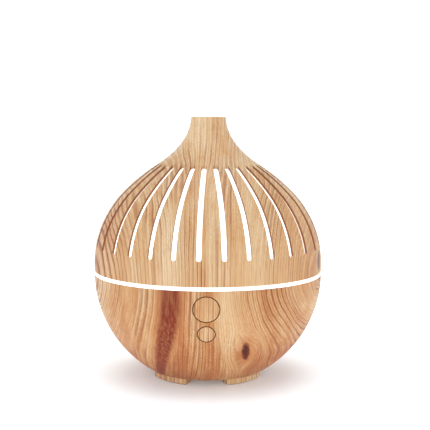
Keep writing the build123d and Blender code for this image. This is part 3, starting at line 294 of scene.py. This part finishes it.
def wood(name, shift, fan=(0.0, 0.0), curl=0.12, lean=0.0, tone=0.42, contrast=1.0, knot=False,
         features=None, shade_cut_walls=True):
    """Printed pine grain under a satin lacquer, with dark brown wherever the wall is cut: bare plastic with
    painted shade.
    """
    surface = Surface(name)
    level = growth(surface, shift, fan, curl, lean, knot)
    grain = surface.vector(level + shift, surface.y * 0.30, surface.z * 0.045)
    broad = surface.noise(grain, 0.085, 2, 0.5)
    bands = surface.noise(grain, 0.30, 3, 0.6)
    fibre = surface.noise(surface.vector(level, surface.y * 0.6, surface.z * 0.035), 2.0, 4, 0.65)
    crowd = surface.noise(surface.vector(level + shift, surface.y * 0.3, surface.z * 0.02), 0.05, 1)
    bold = surface.noise(surface.vector(level * 0.8 + shift + 31, surface.y * 0.3, surface.z * 0.05), 0.10, 2)
    shade = (broad - 0.5) * 1.1 + (bands - 0.5) * 1.0 + tone
    strength = bold.ramp(0.38, 0.64, 0.10 * contrast, 0.66 * contrast)
    marks = None
    if features:
        shade, strength, marks = features(surface, level, shade, strength)

    colour = early_wood(surface, shade)

    # latewood lines: each darkens slowly and ends sharply
    ring = (level * 0.40 + (crowd - 0.5) * 5.0).math("FRACT")
    line = ring.ramp(0.45, 0.88) * ring.ramp(0.92, 1.0, 1, 0)
    colour = colour.mix(LINE, line * strength)
    thin = (level * 0.78 + (crowd - 0.5) * 7.0 + (fibre - 0.5) * 0.7).math("FRACT")
    thin = thin.ramp(0.35, 0.75) * thin.ramp(0.8, 1.0, 1, 0)
    colour = colour.mix(LINE, thin * bold.ramp(0.3, 0.7, 0.16 * contrast, 0.46 * contrast))
    colour = colour.mix(TAN, fibre.ramp(0.48, 0.78, 0, 0.5))
    colour = colour.mix(CREAM, fibre.ramp(0.5, 0.25, 0, 0.36))

    # short dark pores along the grain
    spots = surface.cells(surface.vector(level * 1.1, surface.y * 0.7, surface.z * 0.13), 0.9)
    pores = spots.ramp(0.05, 0.17, 1, 0) * bold.ramp(0.42, 0.62)
    colour = colour.mix(LINE, pores * 0.7)
    if marks:
        colour = marks(colour)

    # cut walls and inner faces: bare brown plastic, darkened further as painted shade
    if shade_cut_walls:
        colour = colour.mix(PLASTIC_AND_SHADE_BROWN, facing_out(surface).ramp(0.12, 0.34, 0.9, 0))
    surface.colour(colour)
    surface.rough(fibre.ramp(0.2, 0.8, 0.42, 0.54))
    surface.relief(fibre * 0.6 + line * strength * -0.5 + 0.5, 0.05)
    surface.set(Specular_IOR_Level=0.22, Coat_Weight=0.05, Coat_Roughness=0.3)
    return surface.material


def body_features(surface, level, shade, strength):
    """The lower shell's dark streak left of the buttons, its bolder lines, the knot at the right, painted
    shade that darkens it towards the bottom, and painted shade round the buttons.
    """
    front = surface.y.ramp(-25, -5, 1, 0)
    down = surface.z * -1.0 + SEAM
    ragged = surface.noise(surface.vector(surface.x, surface.y, surface.z * 0.14), 0.45, 3, 0.6)
    middle = down.ramp(15, 60, -22.0, -24.2)
    half = down.ramp(12, 60, 6.2, 3.0)
    offset = (level - middle).math("ABSOLUTE") / half + (ragged - 0.5) * 0.5
    streak = offset.ramp(0.55, 1.2, 1, 0) * front
    depth = surface.noise(surface.vector(level, surface.y, surface.z * 0.03), 0.9, 3, 0.6)
    beside = level.bump_at(-14.0, 6.0)
    right = level.bump_at(40.0, 11.0)
    calm = level.bump_at(12.0, 8.5)
    pale = level.bump_at(-63.0, 10.0)
    tint = beside * 0.30 + right * 0.14 - calm * 0.34 - pale * 0.30 + level.bump_at(1.0, 8.0) * 0.12
    # the last term is painted shade: darker towards the bottom
    shade = shade + tint * front + down.ramp(22, 64, 0, 0.36)
    strength = strength * (calm * front * -0.8 + 1.0) + (beside * 0.35 + right * 0.45) * front

    def marks(colour):
        colour = colour.mix(TAN, offset.ramp(0.8, 2.0, 0.6, 0) * front)
        colour = colour.mix(STREAK, streak * depth.ramp(0.32, 0.62, 0.62, 1.0))
        swirl = surface.noise(surface.vector(surface.x, surface.y, surface.z * 0.4), 0.6, 3, 0.7)
        heart = near_knot(surface) + (swirl - 0.5) * near_knot(surface, 1.7, 1.4).ramp(0, 0.4) * 1.3
        colour = colour.mix(TAN, near_knot(surface, 2.4, 1.6) * 0.7)
        colour = colour.mix(STREAK, heart.ramp(0.10, 0.60, 0, 0.80))
        colour = colour.mix(KNOT, heart.ramp(0.60, 0.95, 0, 0.95))
        # painted shade round the buttons
        return paint_gap_shade(surface, colour)

    return shade, strength, marks


def button_features(surface, level, shade, strength):
    """The buttons' darker lines at the right, and painted shade at their edges."""
    strength = strength + level.bump_at(4.5, 4.0) * 0.4

    def marks(colour):
        # painted shade round the button
        return paint_gap_shade(surface, colour)

    return shade, strength, marks


def cover_features(surface, level, shade, strength):
    """The cover's bold lines between slots and seam, its leaning ones at the left, a dark mark, and painted
    light that makes it paler towards the top.
    """
    front = surface.y.ramp(-25, -5, 1, 0)
    rise = surface.z - SEAM
    centre = level.bump_at(-2.5, 4.5) * front * rise.ramp(8, 24, 1, 0.25)
    left = surface.x.ramp(-66, -34, 1, 0) * front
    right = level.bump_at(50.0, 18.0) * front
    side = (surface.x - 71.8) / 1.5
    along = (rise - 10.0) / 8.0
    spindle = (side * side + along * along).ramp(0.3, 1.1, 1, 0) * front
    # the last term is painted light: paler towards the top
    shade = shade + centre * 0.25 + left * 0.22 + right * 0.22 - rise.ramp(30, 75, 0, 0.14)
    strength = strength * right.ramp(0, 1, 1, 0.4) + centre * 0.75 + left * 0.8

    def marks(colour):
        return colour.mix(KNOT, spindle * 0.8)

    return shade, strength, marks


wood_cover = wood(
    "wood_cover", shift=210.0, fan=(0.05, 0.05), curl=0.2, lean=0.08, tone=0.31, features=cover_features
)
wood_body = wood(
    "wood_body", shift=0.0, fan=(0.14, 0.36), tone=0.54, contrast=1.2, knot=True, features=body_features
)
wood_button = wood("wood_button", shift=90.0, tone=0.56, contrast=1.6, features=button_features)
# the base's wood is paler: partly its own colour, partly painted light against the shade it stands in
wood_base = wood("wood_base", shift=400.0, tone=0.26, contrast=1.1, shade_cut_walls=False)


# ---------------------------------------------------------------------------------------------
# Lit white plastics
# ---------------------------------------------------------------------------------------------
def lit_shade():
    """Frosted white liner with painted glow for the LED light behind it: brightest on its outside behind the
    slots, dimmer towards the neck, on its skirt and on its inner face.
    """
    surface = Surface("shade_glow")
    cloud = surface.noise(surface.vector(surface.x, surface.y, surface.z), 0.06, 3)
    fine = surface.noise(surface.vector(surface.x, surface.y, surface.z), 1.6, 2)
    surface.colour(surface.two_tone((250, 249, 244), (255, 255, 252), cloud))
    surface.rough(fine.ramp(0.2, 0.8, 0.42, 0.58))
    surface.relief(fine, 0.03)
    # painted glow for the LED light shining through, dimmer on the skirt and on the inner face
    along = surface.z.ramp(SEAM + 5, SEAM + 9, 0.25, 1.15) - surface.z.ramp(SEAM + 9, HEIGHT / MM, 0, 0.4)
    surface.glow(along * facing_out(surface).ramp(0.05, 0.3, 0.3, 1) * cloud.ramp(0.2, 0.8, 0.97, 1.03))
    surface.set(Emission_Color=linear(255, 252, 244), Subsurface_Weight=0.15)
    return surface.material


def milky_tank():
    """Milky polypropylene with painted glow: its rim, the ring at the seam, glows for the LED light it
    carries out, the rest only faintly.
    """
    surface = Surface("tank_milky")
    cloud = surface.noise(surface.vector(surface.x, surface.y, surface.z), 0.08, 3)
    fine = surface.noise(surface.vector(surface.x, surface.y, surface.z), 1.2, 2)
    surface.colour(surface.two_tone((206, 213, 216), (232, 236, 238), cloud))
    surface.rough(fine.ramp(0.2, 0.8, 0.30, 0.46))
    surface.relief(fine, 0.02)
    reach = (surface.x * surface.x + surface.y * surface.y).math("SQRT")
    # painted glow, bright on the rim ring and faint elsewhere
    ring = surface.z.ramp(SEAM - 4, SEAM - 1.7) * reach.ramp(66, 73)
    surface.glow(ring.ramp(0, 1, 0.03, 1.05))
    surface.set(Emission_Color=linear(255, 253, 247), Transmission_Weight=0.15, IOR=1.49)
    return surface.material


# ---------------------------------------------------------------------------------------------
# Everything else
# ---------------------------------------------------------------------------------------------
def plastic(name, colour, rough=0.45, speck=0.06):
    """Moulded plastic with a fine spark-eroded texture and slight unevenness."""
    surface = Surface(name)
    place = surface.vector(surface.x, surface.y, surface.z)
    fine = surface.noise(place, 3.0, 3)
    broad = surface.noise(place, 0.12, 2)
    dark = tuple(value * (1 - 4 * speck) for value in colour)
    surface.colour(surface.two_tone(dark, colour, broad.ramp(0.3, 0.7)))
    surface.rough(fine.ramp(0.25, 0.75, rough - 0.06, rough + 0.08))
    surface.relief(fine, 0.04)
    return surface.material


def metal(name, colour, rough=0.3, stretch=0.05):
    """Metal with fine drawing lines along one way."""
    surface = Surface(name)
    lines = surface.noise(surface.vector(surface.x * stretch, surface.y, surface.z), 6.0, 3, 0.7)
    broad = surface.noise(surface.vector(surface.x, surface.y, surface.z), 0.3, 2)
    dark = tuple(value * 0.82 for value in colour)
    surface.colour(surface.two_tone(dark, colour, broad))
    surface.rough(lines.ramp(0.2, 0.8, rough - 0.08, rough + 0.12))
    surface.relief(lines, 0.01)
    surface.set(Metallic=1.0)
    return surface.material


def rubber(name, colour):
    """Matte rubber or foam with open pores."""
    surface = Surface(name)
    place = surface.vector(surface.x, surface.y, surface.z)
    pores = surface.cells(place, 1.8)
    surface.colour(surface.two_tone(tuple(v * 0.6 for v in colour), colour, pores.ramp(0.1, 0.5)))
    surface.rough(pores.ramp(0.0, 0.6, 0.9, 0.7))
    surface.relief(pores, 0.08)
    return surface.material


def circuit_board():
    """Green solder mask with copper tracks showing through as a lighter maze."""
    surface = Surface("circuit_board")
    cell_x = (surface.x * 0.45).math("FLOOR")
    cell_y = (surface.y * 0.45).math("FLOOR")
    choice = surface.noise(surface.vector(cell_x * 7.3, cell_y * 5.1, 0.0), 1.0, 0).ramp(0.49, 0.51)
    along_x = (surface.x * 0.9).math("FRACT").bump_at(0.5, 0.22)
    along_y = (surface.y * 0.9).math("FRACT").bump_at(0.5, 0.22)
    track = along_x * choice + along_y * (choice * -1.0 + 1.0)
    fine = surface.noise(surface.vector(surface.x, surface.y, surface.z), 2.0, 2)
    colour = surface.two_tone((6, 62, 30), (10, 84, 42), fine)
    surface.colour(colour.mix(linear(40, 128, 62), track.ramp(0.2, 0.8, 0, 0.7)))
    surface.rough(fine.ramp(0.2, 0.8, 0.24, 0.36))
    surface.relief(track, 0.03)
    return surface.material


def copper_winding():
    """Enamelled wire: fine turns stacked up the coil."""
    surface = Surface("copper_winding")
    turn = (surface.z * 2.2).math("FRACT").bump_at(0.5, 0.5)
    fine = surface.noise(surface.vector(surface.x, surface.y, surface.z), 1.5, 2)
    surface.colour(surface.two_tone((120, 52, 26), (214, 120, 66), turn))
    surface.rough(fine.ramp(0.2, 0.8, 0.22, 0.34))
    surface.relief(turn, 0.12)
    surface.set(Metallic=1.0)
    return surface.material


def phosphor():
    """Yellow phosphor window of a light-emitting diode in its white body."""
    surface = Surface("phosphor")
    fine = surface.noise(surface.vector(surface.x, surface.y, surface.z), 3.0, 2)
    surface.colour(surface.two_tone((236, 216, 130), (252, 246, 226), fine))
    surface.rough(fine.ramp(0.2, 0.8, 0.2, 0.4))
    surface.set(Emission_Color=linear(255, 244, 214), Emission_Strength=0.8)
    return surface.material


screw_steel = metal("screw_steel", (150, 152, 156), 0.32, 1.0)
bright_steel = metal("bright_steel", (196, 197, 196), 0.24)
board_green = circuit_board()
copper = copper_winding()
black = plastic("black_plastic", (26, 26, 28), 0.4)
white = plastic("white_plastic", (240, 240, 236), 0.38, 0.01)
glow_shade, glow_tank = lit_shade(), milky_tank()

FINISHES = {
    wood_cover: ("cover_shell",),
    wood_body: ("lower_shell",),
    wood_button: ("mist_button", "light_button"),
    wood_base: ("base_plate",),
    glow_shade: ("inner_shade",),
    glow_tank: ("water_tank",),
    white: ("splash_baffle", "chimney_cap", "wire_plugs", "mist_plunger", "light_plunger"),
    black: ("fan_frame", "fan_rotor", "power_transistor", "control_chip", "dc_jack", "tact_switches"),
    rubber("silicone", (214, 214, 208)): ("disc_seal",),
    rubber("pad_rubber", (92, 66, 46)): ("foot_pads",),
    rubber("black_foam", (34, 34, 36)): ("fan_gasket",),
    metal("disc_steel", (206, 204, 196), 0.2): ("ultrasonic_disc",),
    bright_steel: ("disc_clamp", "fan_shaft", "jack_pin", "jack_nut"),
    screw_steel: tuple(sorted(name for name in nodes if name.endswith("screws"))),
    metal("bronze", (196, 148, 86), 0.4): ("fan_bearing",),
    metal("finned_aluminium", (206, 208, 210), 0.28): ("heat_sink",),
    board_green: ("led_boards", "main_board", "button_board"),
    phosphor(): ("leds",),
    copper: ("coil_winding", "fan_stator"),
    plastic("ferrite", (38, 38, 40), 0.6): ("coil_core",),
    plastic("blue_sleeve", (24, 34, 66), 0.25): ("capacitors",),
    plastic("red_insulation", (170, 26, 22), 0.3): ("jack_leads", "disc_leads"),
    plastic("black_insulation", (22, 22, 24), 0.3): ("fan_leads",),
    plastic("white_insulation", (226, 226, 222), 0.3, 0.01): ("led_leads", "led_link", "panel_leads"),
}
for material, names in FINISHES.items():
    for name in names:
        mesh = nodes[name].data
        mesh.materials.clear()
        mesh.materials.append(material)


# ---------------------------------------------------------------------------------------------
# Stage: floor, light and camera
# ---------------------------------------------------------------------------------------------
scene = bpy.context.scene
scene.view_settings.view_transform = "Standard"


def stage_floor():
    """A round pale floor that sweeps up into a low wall all round; it glows, less near the object, which
    paints a soft shadow round it.
    """
    flat, bend, rise, steps, sides = 2.6, 1.0, 1.8, 16, 96
    turns = [math.pi / 2 * step / steps for step in range(steps + 1)]
    profile = [(flat + bend * math.sin(turn), bend - bend * math.cos(turn)) for turn in turns]
    profile.append((flat + bend, rise))
    angles = [math.tau * side / sides for side in range(sides)]
    points = [(reach * math.cos(a), reach * math.sin(a), height) for reach, height in profile for a in angles]
    faces = [list(range(sides))]
    for ring in range(len(profile) - 1):
        for side in range(sides):
            here, next_one = ring * sides + side, ring * sides + (side + 1) % sides
            faces.append((here, here + sides, next_one + sides, next_one))
    mesh = bpy.data.meshes.new("floor")
    mesh.from_pydata(points, [], faces)
    for face in mesh.polygons:
        face.use_smooth = True
    floor = bpy.data.objects.new("floor", mesh)
    scene.collection.objects.link(floor)
    surface = Surface("floor_paper")
    fine = surface.noise(surface.vector(surface.x, surface.y, surface.z), 0.05, 3)
    surface.colour(surface.two_tone((238, 240, 242), (242, 244, 246), fine))
    surface.rough(fine.ramp(0.2, 0.8, 0.7, 0.8))
    reach = (surface.x * surface.x + surface.y * surface.y).math("SQRT")
    # painted shadow: the floor glows less near the object
    surface.glow(reach.ramp(20, 95, 0.14, 0.52) + reach.ramp(200, 1200, 0, 0.18))
    surface.set(Specular_IOR_Level=0.1, Emission_Color=linear(244, 251, 255))
    mesh.materials.append(surface.material)


def area_light(name, place, aim, size, watts):
    data = bpy.data.lights.new(name, "AREA")
    data.shape = "RECTANGLE"
    data.size = size
    data.size_y = size
    data.energy = watts
    light = bpy.data.objects.new(name, data)
    light.location = place
    light.rotation_euler = (Vector(aim) - Vector(place)).to_track_quat("-Z", "Y").to_euler()
    scene.collection.objects.link(light)


stage_floor()
WORLD_STRENGTH = 0.18
world = bpy.data.worlds.new("studio")
world.use_nodes = True
background = world.node_tree.nodes["Background"]
background.inputs["Color"].default_value = (1, 1, 1, 1)
background.inputs["Strength"].default_value = WORLD_STRENGTH
scene.world = world
area_light("key", place=(-0.7, -1.1, 1.0), aim=(0, 0, 0.08), size=0.9, watts=2.6)
area_light("fill", place=(0.9, -1.0, 0.6), aim=(0, 0, 0.08), size=0.9, watts=1.0)
area_light("top", place=(0, 0.1, 1.4), aim=(0, 0, 0.05), size=1.2, watts=9.4)

CAMERA_DISTANCE = 0.660
CAMERA_HEIGHT = HEIGHT - 0.5 * MM
CAMERA_SIDE = math.radians(0.7)
LOOK_DOWN = math.radians(5.57)
LOOK_RIGHT = math.radians(0.395)
LEAN = math.radians(0.25)
SENSOR = 36
LENS = 83.7
camera_data = bpy.data.cameras.new("camera")
camera_data.sensor_width = SENSOR
camera_data.lens = LENS
camera = bpy.data.objects.new("camera", camera_data)
turn = (
    Matrix.Rotation(CAMERA_SIDE - LOOK_RIGHT, 4, "Z")
    @ Matrix.Rotation(math.pi / 2 - LOOK_DOWN, 4, "X")
    @ Matrix.Rotation(LEAN, 4, "Z")
)
spot = Vector((math.sin(CAMERA_SIDE), -math.cos(CAMERA_SIDE), 0)) * CAMERA_DISTANCE
camera.matrix_world = Matrix.Translation(spot + Vector((0, 0, CAMERA_HEIGHT))) @ turn
scene.collection.objects.link(camera)
scene.camera = camera
